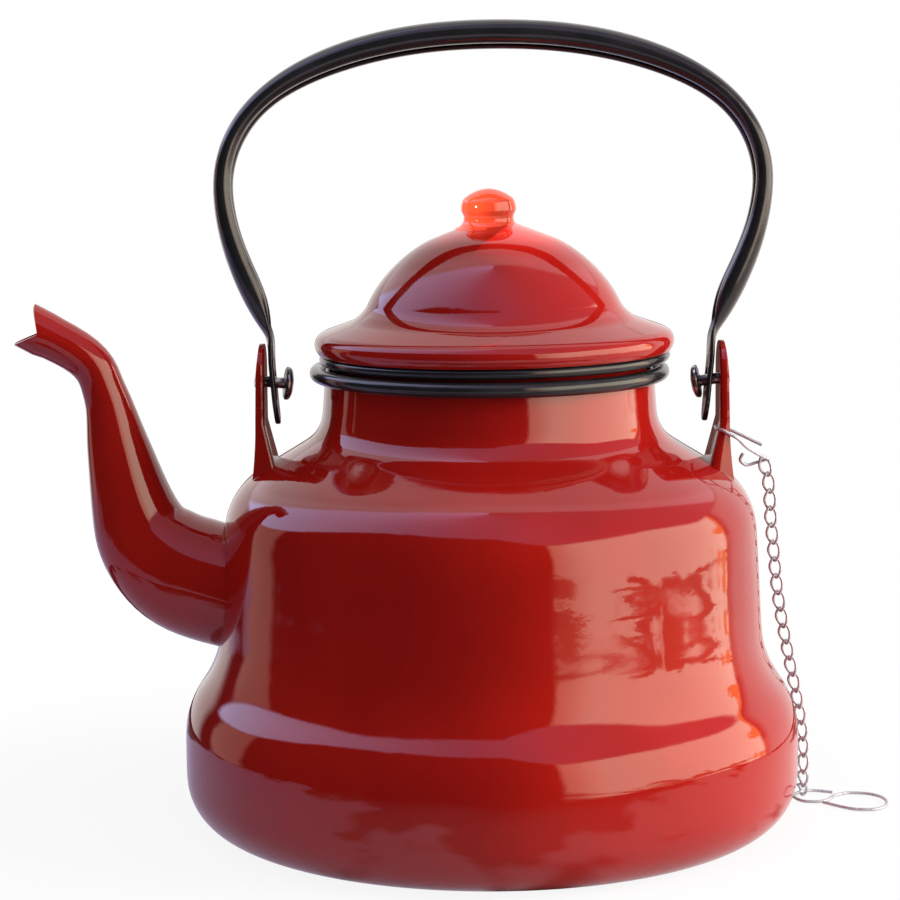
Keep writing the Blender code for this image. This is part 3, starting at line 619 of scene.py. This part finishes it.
def make_ear(name, side, *holes):
    """A pressed channel. Its flat sheet is a grid that is bent to the channel's sections."""
    shape = bmesh.new()
    bmesh.ops.create_grid(shape, x_segments=20, y_segments=40, size=1.0)
    for vert in shape.verts:
        across = abs(vert.co.x)
        back = math.copysign(1.0, vert.co.x)
        height, web, half, flange = ear_station((1 - vert.co.y) / 2)
        bend = min(EAR_BEND, half)
        if across > 1 - EAR_FLANGE_SHARE:
            out = bend + (flange - bend) * (across - (1 - EAR_FLANGE_SHARE)) / EAR_FLANGE_SHARE
            y = half - (out - bend) * EAR_CLOSING
        elif across > EAR_FLAT_SHARE:
            angle = (across - EAR_FLAT_SHARE) / EAR_BEND_SHARE * math.pi / 2
            out, y = bend * (1 - math.cos(angle)), half - bend * (1 - math.sin(angle))
        else:
            out, y = 0.0, (half - bend) * across / EAR_FLAT_SHARE
        vert.co = Vector((web + out, back * y, height))
    bmesh.ops.remove_doubles(shape, verts=shape.verts, dist=0.00001)
    if side < 0:
        bmesh.ops.rotate(shape, verts=shape.verts, cent=(0.0, 0.0, 0.0),
                         matrix=Matrix.Rotation(math.pi, 3, 'Z'))
    bmesh.ops.translate(shape, verts=shape.verts, vec=(EAR_SHIFT, 0.0, 0.0))
    bmesh.ops.recalc_face_normals(shape, faces=shape.faces)
    web_face = min(shape.faces, key=lambda face: abs(face.calc_center_median().z - EAR_KNEE)
                   + abs(face.calc_center_median().y))
    if web_face.normal.x * side > 0:
        bmesh.ops.reverse_faces(shape, faces=shape.faces)
    ear = plain_object(name, shape)
    walled(ear, EAR_SHEET)
    place = EAR_SHIFT + side * (EAR_WEB + EAR_SHEET / 2)
    carved(ear, skin_solid(), *[bar((place, 0.0, height), radius, HOLE_CUT)
                                for height, radius in holes])
    return ear


def make_ears():
    pivot = (PIVOT_HEIGHT, SHANK_RADIUS + PIVOT_HOLE_PLAY)
    left = make_ear("left_ear", -1, pivot)
    right = make_ear("right_ear", 1, pivot, CHAIN_HOLE)
    for ear, node in ((left, "ear_left"), (right, "ear_right")):
        edge_rounded(ear, EAR_EDGE_ROUND)
        finish_piece(ear, RED, "kettle", "red enamel", node)


def make_rivet(name, side, node):
    end = TAIL_THICKNESS + SHANK_LENGTH
    shape = turned((
        (0.0, end + HEAD_THICKNESS, 0.0),
        (HEAD_RADIUS * 0.62, end + HEAD_THICKNESS, 0.0009),
        (HEAD_RADIUS, end + HEAD_THICKNESS * 0.62, 0.0007),
        (HEAD_RADIUS, end + HEAD_THICKNESS * 0.1, 0.0002),
        (HEAD_RADIUS * 0.9, end, 0.0),
        (SHANK_RADIUS, end, 0.0),
        (SHANK_RADIUS, TAIL_THICKNESS, 0.0),
        (TAIL_RADIUS, TAIL_THICKNESS, 0.0003),
        (TAIL_RADIUS * 0.8, 0.0, 0.0003),
        (0.0, 0.0, 0.0)), 48)
    droop = RIVET_DROOPS[name]
    along = Vector((-side * math.cos(RIVET_SWING), math.sin(RIVET_SWING), -math.sin(droop)))
    along.normalize()
    seat = Vector((EAR_SHIFT + side * (EAR_WEB + EAR_SHEET / 2), 0.0, PIVOT_HEIGHT))
    reach = EAR_SHEET / 2 + 0.0003 + TAIL_RADIUS * (math.tan(RIVET_SWING) + math.tan(droop))
    turn = Vector((0.0, 0.0, 1.0)).rotation_difference(along).to_matrix().to_4x4()
    matrix = Matrix.Translation(seat - along * (reach + TAIL_THICKNESS)) @ turn
    bmesh.ops.transform(shape, matrix=matrix, verts=shape.verts)
    rivet = plain_object(name + "_rivet", shape)
    finish_piece(rivet, STEEL, "kettle", "rivet steel", node, smooth_angle=50)


# Bail

def eased(low, high, share):
    share = min(max(share, 0.0), 1.0)
    return low + (high - low) * share * share * (3 - 2 * share)


def bail_line():
    """Half of the bail's outer face, from the end of its tab to the top of its arch."""
    top = BAIL_TAB + BAIL_TAB_SLANT
    end = BAIL_TAB - BAIL_TAB_SLANT
    points = [(end, -BAIL_TAB_DROP), (end + 0.0001, -0.0130), (end + 0.0003, -0.0109),
              (end + 0.0008, -0.0070), (BAIL_TAB, 0.0), (BAIL_TAB + 0.00084, 0.0070),
              (top, BAIL_TAB_RISE)]
    for out, up in BAIL_SHANK:
        points.append((top + (BAIL_HALF_SPAN - top) * out,
                       BAIL_TAB_RISE + (BAIL_BELLY_RISE - BAIL_TAB_RISE) * up))
    for step in range(BAIL_ARCH_STEPS + 1):
        turn = math.pi / 2 * step / BAIL_ARCH_STEPS
        points.append((BAIL_HALF_SPAN * max(math.cos(turn), 0.0) ** (2 / BAIL_ARCH_POWER),
                       BAIL_BELLY_RISE + (BAIL_RISE - BAIL_BELLY_RISE)
                       * math.sin(turn) ** (2 / BAIL_ARCH_POWER)))
    return [Vector(point) for point in points]


def bail_section(rise):
    """The closed outline across the strip at a rise above the pivot: place across and depth."""
    roll = eased(0.0, 1.0, (rise - BAIL_ROLL_START) / (BAIL_ROLL_RISE - BAIL_ROLL_START))
    grip_start = (BAIL_BELLY_RISE + BAIL_RISE) / 2
    grip = eased(0.0, 1.0, (rise - grip_start) / (BAIL_RISE - grip_start))
    arm = eased(BAIL_HIP[1], BAIL_ARM[1], (rise - BAIL_HIP[0]) / (BAIL_BELLY_RISE - BAIL_HIP[0]))
    width = eased(BAIL_TAB_WIDTH, BAIL_ARM[0], rise / BAIL_ROLL_RISE)
    width += (BAIL_GRIP[0] - BAIL_ARM[0]) * grip
    nose = BAIL_TAB_WIDTH / 2
    below = BAIL_TAB_DROP + rise
    if below < nose:
        width = 2 * math.sqrt(max(nose ** 2 - (nose - below) ** 2, (0.15 * nose) ** 2))
    depth = arm + (BAIL_GRIP[1] - BAIL_ARM[1]) * grip - BAIL_SHEET
    edge = (width - BAIL_SHEET) / 2
    flat = [Vector((edge * (i / 4 - 1), 0.0)) for i in range(9)]
    half = [(edge - BAIL_LIP, depth), (edge - 0.13 * depth, depth), (edge, depth * 0.55),
            (edge - 0.22 * depth, depth * 0.12)]
    rolled = [Vector((-across, down)) for across, down in half] + [Vector((0.0, -0.04 * depth))]
    rolled += [Vector((across, down)) for across, down in reversed(half)]
    line = [a.lerp(b, roll) for a, b in zip(flat, rolled)]
    sides = [[], []]
    for index, point in enumerate(line):
        ahead = line[min(index + 1, len(line) - 1)] - line[max(index - 1, 0)]
        across = Vector((ahead.y, -ahead.x)).normalized() * BAIL_SHEET / 2
        sides[0].append(point + across)
        sides[1].append(point - across)
    return sides[0] + sides[1][::-1]


def make_bail():
    half = bail_line()
    whole = [Vector((-point.x, point.y)) for point in half] + [p.copy() for p in half[-2::-1]]
    for point in whole:
        point.x += BAIL_SKEW * max(point.y, 0.0) / BAIL_RISE
    rings = []
    for index, point in enumerate(whole):
        along = (whole[min(index + 1, len(whole) - 1)] - whole[max(index - 1, 0)]).normalized()
        inward = Vector((along.y, 0.0, -along.x))
        origin = Vector((point.x, 0.0, point.y)) + inward * BAIL_SHEET / 2
        rings.append([origin + Vector((0.0, across, 0.0)) + inward * down
                      for across, down in bail_section(point.y)])
    shape = skin_through(rings, True)
    lean = (Matrix.Translation((BAIL_SHIFT, 0.0, PIVOT_HEIGHT))
            @ Matrix.Rotation(-BAIL_LEAN, 4, 'X'))
    bmesh.ops.transform(shape, matrix=lean, verts=shape.verts)
    bail = plain_object("bail_handle", shape)
    smooth = bail.modifiers.new("smooth", 'SUBSURF')
    smooth.levels = 2
    smooth.render_levels = 2
    carved(bail, *[bar((EAR_SHIFT + side * BAIL_TAB, 0.0, PIVOT_HEIGHT),
                       SHANK_RADIUS + BAIL_HOLE_PLAY, HOLE_CUT) for side in (-1, 1)])
    finish_piece(bail, BLACK, "bail", "black enamel", "bail", smooth_angle=50)


# Lid

def seated(shape):
    """Tilts and shifts a shape of the lid to where the lid rests."""
    bmesh.ops.rotate(shape, verts=shape.verts, cent=(-LID_HEM[0], 0.0, LID_REST),
                     matrix=Matrix.Rotation(-LID_TILT, 3, 'Y'))
    bmesh.ops.translate(shape, verts=shape.verts, vec=(LID_SHIFT, 0.0, 0.0))
    return shape


def make_lid():
    lid = plain_object("domed_lid", seated(turned(LID_PROFILE, 144)))
    walled(lid, LID_WALL)
    finish_piece(lid, RED, "lid", "red enamel", "lid_shell")
    hem = plain_object("lid_edge", seated(ring(*LID_HEM)))
    finish_piece(hem, BLACK, "lid", "black enamel", "lid_hem")
    collar = plain_object("lid_skirt", seated(turned(COLLAR_PROFILE, 120)))
    walled(collar, LID_WALL)
    finish_piece(collar, RED, "lid", "red enamel", "lid_collar")
    shape = turned(KNOB_PROFILE, 72)
    bmesh.ops.translate(shape, verts=shape.verts, vec=(KNOB_SHIFT, 0.0, 0.0))
    for vert in shape.verts:
        from_knob = math.hypot(vert.co.x - KNOB_SHIFT, vert.co.y)
        if from_knob > KNOB_FOOT - 0.0001:
            vert.co.z = LID_CROWN - LID_SLOPE * vert.co.xy.length
    knob = plain_object("lid_handle_knob", seated(shape))
    # The knob wears the lighter, orange copy of the red, which paints sunlight on it
    finish_piece(knob, KNOB_PAINTED_SUN_RED, "lid", "red enamel", "lid_knob", smooth_angle=60)


# Chain

def make_wire(name, points, radius, cyclic, body, node):
    """Round wire through points, as a mesh."""
    curve = bpy.data.curves.new(name, 'CURVE')
    curve.dimensions = '3D'
    curve.bevel_depth = radius
    curve.bevel_resolution = 2
    curve.use_fill_caps = not cyclic
    spline = curve.splines.new('POLY')
    spline.points.add(len(points) - 1)
    for target, point in zip(spline.points, points):
        target.co = (point[0], point[1], point[2], 1.0)
    spline.use_cyclic_u = cyclic
    source = bpy.data.objects.new(name + "_line", curve)
    bpy.context.scene.collection.objects.link(source)
    bpy.context.view_layer.update()
    graph = bpy.context.evaluated_depsgraph_get()
    mesh = bpy.data.meshes.new_from_object(source.evaluated_get(graph))
    bpy.data.objects.remove(source, do_unlink=True)
    item = bpy.data.objects.new(name, mesh)
    bpy.context.scene.collection.objects.link(item)
    finish_piece(item, WIRE, body, "wire steel", node, smooth_angle=60)


def make_clips():
    web = EAR_WEB + EAR_SHIFT + 0.0001
    hole = CHAIN_HOLE[0]
    front = -0.0109
    inside = web - 2 * CLIP_WIRE
    upper = [
        (web + 0.0140, -0.0020, hole - 0.0060), (web + 0.0040, -0.0010, hole - 0.0012),
        (web + 0.0006, -0.0003, hole), (web - 0.0003, -0.0007, hole),
        (inside, -0.0022, hole), (inside, front / 2, hole), (inside + 0.0003, front + 0.0022, hole),
        (web + 0.0006, front, hole), (web + 0.0025, front - 0.0003, hole - 0.0011),
        (web + 0.0055, front, hole - 0.0029), (web + 0.0088, -0.0075, hole - 0.0062),
        (web + 0.0143, -0.0030, hole - 0.0098), (web + 0.0163, -0.0012, hole - 0.0108),
        (web + 0.0155, 0.0008, hole - 0.0113), (web + 0.0127, 0.0013, hole - 0.0122),
        (web + 0.0095, 0.0010, hole - 0.0130), (web + 0.0073, 0.0000, hole - 0.0112),
        (web + 0.0081, -0.0006, hole - 0.0089),
    ]
    make_wire("upper_clip", smooth_path(upper, 6), CLIP_WIRE, False, "clip_upper",
              "chain_clip_upper")
    side = BODY_PROFILE[1][0]
    rest = 0.0009
    lower = [
        (side + 0.0154, 0.0222, rest + 0.0002), (side + 0.0091, 0.0232, rest + 0.0006),
        (side + 0.0048, 0.0213, rest + 0.0008), (side + 0.0016, 0.0170, rest + 0.0004),
        (side + 0.0039, 0.0122, rest), (side + 0.0085, 0.0112, rest),
        (side + 0.0124, 0.0130, rest), (side + 0.0159, 0.0190, rest),
        (side + 0.0209, 0.0220, rest), (side + 0.0274, 0.0205, rest),
        (side + 0.0311, 0.0160, rest), (side + 0.0319, 0.0100, rest),
        (side + 0.0302, 0.0042, rest), (side + 0.0264, 0.0008, rest),
        (side + 0.0205, 0.0010, rest), (side + 0.0159, 0.0044, rest),
        (side + 0.0106, 0.0103, rest),
    ]
    make_wire("lower_clip", smooth_path(lower, 6), CLIP_WIRE, False, "clip_lower",
              "chain_clip_lower")


def make_links():
    """Each link runs from its own hinge to the next one's."""
    hinges = {joint["child"]: Vector(joint["pos_m"])
              for joint in frame["record"]["behaviour"]["joints"]}
    bodies = ["link_%02d" % number for number in range(1, LINK_COUNT + 1)]
    for index, body in enumerate(bodies):
        start = hinges[body]
        end = hinges[(bodies + ["clip_lower"])[index + 1]]
        turn = Quaternion((0.0, 0.0, 1.0), CHAIN_TWIST * index / (LINK_COUNT - 1))
        lay = Vector((0.0, 0.0, -1.0)).rotation_difference(end - start) @ turn
        half_length = ((end - start).length + 0.0003) / 2 + LINK_WIRE
        points = []
        for step in range(LINK_STEPS):
            angle = 2 * math.pi * step / LINK_STEPS
            across = LINK_HALF_WIDTH * math.sin(angle)
            twist = LINK_TWIST * math.cos(angle)
            point = Vector((across * math.cos(twist), across * math.sin(twist),
                            half_length * math.cos(angle)))
            points.append((start + end) / 2 + lay @ point)
        make_wire("link_wire_%02d" % (index + 1), points, LINK_WIRE, True, body,
                  "chain_link_%02d" % (index + 1))


# Stage

def spread(finish):
    """A position's or a direction's three numbers, and where the ray comes from."""
    coordinates = "Object" if isinstance(finish.owner, bpy.types.Material) else "Generated"
    place = finish.node('ShaderNodeTexCoord', output=coordinates)
    apart = finish.node('ShaderNodeSeparateXYZ', {}, [place])
    return place, [Value(finish, apart.socket.node.outputs[index]) for index in range(3)]


def ray_kinds(finish):
    """1 for a camera ray, and 1 for a ray that comes from gloss or through glass."""
    path = finish.tree.nodes.new('ShaderNodeLightPath')
    glossy = Value(finish, path.outputs["Is Glossy Ray"])
    through = Value(finish, path.outputs["Is Transmission Ray"])
    return Value(finish, path.outputs["Is Camera Ray"]), (glossy + through).math('MINIMUM', 1.0)


def make_floor():
    """A pale disc that keeps the kettle's shadow and fades into the white round it. In the gloss it
    glows instead with a painted ground: mauve at the left, pale at the right, with a broken dark
    patch further out.
    """
    shape = bmesh.new()
    bmesh.ops.create_circle(shape, cap_ends=True, segments=96, radius=FLOOR_RADIUS)
    floor = plain_object("pale_floor", shape)
    material = bpy.data.materials.new("pale floor")
    finish = Finish(material)
    place, (x, y, z) = spread(finish)
    camera, glossy = ray_kinds(finish)
    far = (x * x + y * y).step(0.012, 0.08)
    # Painted reflection: the ground that only glossy rays see, glowing from the floor, mauve to
    # pale across it and dark further out
    ground = finish.mix(x.step(-0.20, 0.20), GROUND_LEFT, GROUND_RIGHT)
    shade = finish.noise(13.0, 3.0) * 0.10 - x.math('ABSOLUTE') * 0.30
    ground = finish.mix((x * x + y * y + shade).step(0.046, 0.056), ground, YARD_DARK)
    glow = finish.node('ShaderNodeEmission', {}, {"Color": finish.mix(camera, ground, WHITE)})
    matt = finish.node('ShaderNodeBsdfDiffuse', {}, {"Color": FLOOR_GREY})
    share = camera * (far * 0.10 + 0.90) + glossy * (far * 0.3 + 0.7)
    mixed = finish.node('ShaderNodeMixShader', {}, [share, matt, glow])
    finish.node('ShaderNodeOutputMaterial', {}, {"Surface": mixed})
    floor.data.materials.append(material)


def make_world():
    """Plain daylight for the surfaces, white for the camera, and a soft yard in the gloss.

    Side is the angle round from the front towards the right, and rise the angle above the horizon,
    both in degrees. The yard has sky above a roof line, a sunlit wall from the right to the back
    with shrubs before it, a post at the left, a pale back with a hedge, and the ground.
    """
    world = bpy.data.worlds.new("studio")
    bpy.context.scene.world = world
    finish = Finish(world)
    place, (x, y, z) = spread(finish)
    camera, glossy = ray_kinds(finish)
    front = y * -1.0
    side = x.math('ARCTAN2', front) * DEGREES
    rise = z.math('ARCSINE') * DEGREES
    leaves = finish.noise(5.0, 4.0, vector=place) - 0.5

    roof = 44.5 - side.step(-50.0, -130.0) * 31.0 - side.step(0.0, 32.0) * 11.0
    roof = roof - side.step(75.0, 118.0) * 10.0 + side.band(-45.0, 5.0, 2.0) * 2.0
    sky = finish.mix(side.step(-115.0, -5.0), SKY_LEFT, SKY_FRONT)
    sky = finish.mix(side.step(-20.0, 75.0), sky, SKY_RIGHT)
    sky = finish.mix((z + y).step(1.03, 1.08), sky, SKY_HIGH)
    sky = finish.mix((z + y).step(1.14, 1.24), sky, SKY_BACK)
    colour = finish.mix((rise - roof).step(-ROOF_EDGE, ROOF_EDGE), YARD_DARK, sky)

    below_roof = (roof - rise).step(-ROOF_EDGE, ROOF_EDGE)
    shrubs = (rise + leaves * 22.0).band(-13.0, 0.0, 1.2) * side.step(22.0, 30.0)
    wall = finish.mix(side.step(24.0, 46.0), WALL_CORNER, WALL_PALE)
    slanted = finish.node('ShaderNodeCombineXYZ', {}, [side * 0.030, rise * 0.55 + side * 0.045])
    low = finish.noise(1.0, 3.0, vector=slanted).step(0.50, 0.55) * rise.step(-11.0, -8.0)
    edge = (rise + leaves * 16.0).step(-4.5, -3.0).math('MAXIMUM', low)
    lit = side.band(WALL_START, WALL_END, 1.5) * below_roof * edge
    colour = finish.mix(shrubs * 0.8, colour, SHRUB_BROWN)
    colour = finish.mix(lit, colour, wall)
    glow = side.band(110.0, 119.0, 1.0) * below_roof * (leaves + z * 0.2).step(-0.02, 0.03)
    colour = finish.mix(glow, colour, WALL_ORANGE)
    post = (side + leaves * 6.0).band(-127.0, -105.0, 2.0) * below_roof
    colour = finish.mix(post, colour, POST_BROWN)
    behind = (side.step(118.0, 126.0) + side.step(-136.0, -144.0)) * below_roof
    colour = finish.mix(behind, colour, BACK_PALE)
    hedge = side.math('ABSOLUTE').step(169.0, 172.0) * rise.band(-13.0, -1.5, 0.7)
    colour = finish.mix(hedge, colour, HEDGE_DARK)
    ground = finish.mix(side.step(-60.0, 60.0), GROUND_LEFT, GROUND_RIGHT)
    near = rise + leaves * 12.0 - side.step(-45.0, -85.0) * 5.0 - side.step(25.0, 60.0) * 5.0
    colour = finish.mix(near.step(-13.0, -17.0), colour, ground)

    plain = finish.mix(z.step(-0.6, 0.8), DAYLIGHT_LOW, DAYLIGHT_HIGH)
    light = finish.mix(glossy, plain, colour)
    light = finish.mix(camera, light, WHITE)
    background = finish.node('ShaderNodeBackground', {}, {"Color": light, "Strength": 1.0})
    finish.node('ShaderNodeOutputWorld', {}, {"Surface": background})


def aim(item, place, target):
    item.location = place
    item.rotation_euler = (Vector(target) - Vector(place)).to_track_quat('-Z', 'Y').to_euler()


def make_lamp(name, kind, place, target, energy, colour, **settings):
    lamp = bpy.data.lights.new(name, kind)
    lamp.energy = energy
    lamp.color = colour
    for key, value in settings.items():
        setattr(lamp, key, value)
    item = bpy.data.objects.new(name, lamp)
    bpy.context.scene.collection.objects.link(item)
    aim(item, place, target)
    return item


def make_lights():
    """Two softboxes for the form, and two narrow beams of sun on the knob and the crown."""
    wall = make_lamp("right_softbox", 'AREA', (1.10, -0.27, 0.45), KETTLE_MIDDLE, 27.0,
                     (1.0, 0.94, 0.88), shape='RECTANGLE', size=0.7, size_y=0.8)
    wall.visible_glossy = False
    top = make_lamp("top_softbox", 'AREA', (-0.10, -0.45, 1.1), KETTLE_MIDDLE, 4.0,
                    (0.95, 0.97, 1.0), shape='RECTANGLE', size=0.9, size_y=0.9)
    top.visible_glossy = False
    make_lamp("sun_on_knob", 'SPOT', (-0.85, -0.56, 0.43), (-0.002, 0.0, 0.2015), 190.0,
              SUN_COLOUR, spot_size=math.radians(1.5), spot_blend=0.35,
              shadow_soft_size=SUN_SOFTNESS)
    crown = make_lamp("sun_on_crown", 'SPOT', (0.35, 0.62, 0.75), (0.012, 0.0, 0.1970), 200.0,
                      SUN_COLOUR, spot_size=math.radians(2.2), spot_blend=0.9,
                      shadow_soft_size=SUN_SOFTNESS)
    crown.visible_glossy = False


def make_camera():
    data = bpy.data.cameras.new("camera")
    data.sensor_fit = 'HORIZONTAL'
    data.sensor_width = 36.0
    data.lens = CAMERA_LENS
    data.clip_start = 0.01
    camera = bpy.data.objects.new("camera", data)
    bpy.context.scene.collection.objects.link(camera)
    level = Matrix.Rotation(math.pi / 2 - CAMERA_PITCH, 4, 'X')
    roll = Matrix.Rotation(CAMERA_ROLL, 4, 'Z')
    camera.matrix_world = Matrix.Translation(CAMERA_PLACE) @ level @ roll
    bpy.context.scene.camera = camera


bpy.context.scene.view_settings.view_transform = 'Standard'
RED = red_enamel("fired red enamel", ENAMEL_DEEP, ENAMEL_RED)
# A lighter, more orange copy of the red enamel for the knob: painted sunlight
KNOB_PAINTED_SUN_RED = red_enamel("red enamel with painted sunlight", KNOB_PAINTED_SUN_DEEP, KNOB_PAINTED_SUN_BRIGHT)
BLACK = black_enamel()
STEEL = rivet_steel()
WIRE = wire_steel()

make_camera()
make_body()
make_spout()
make_ears()
make_rivet("left", -1, "rivet_left")
make_rivet("right", 1, "rivet_right")
make_bail()
make_lid()
make_clips()
make_links()
make_floor()
make_world()
make_lights()
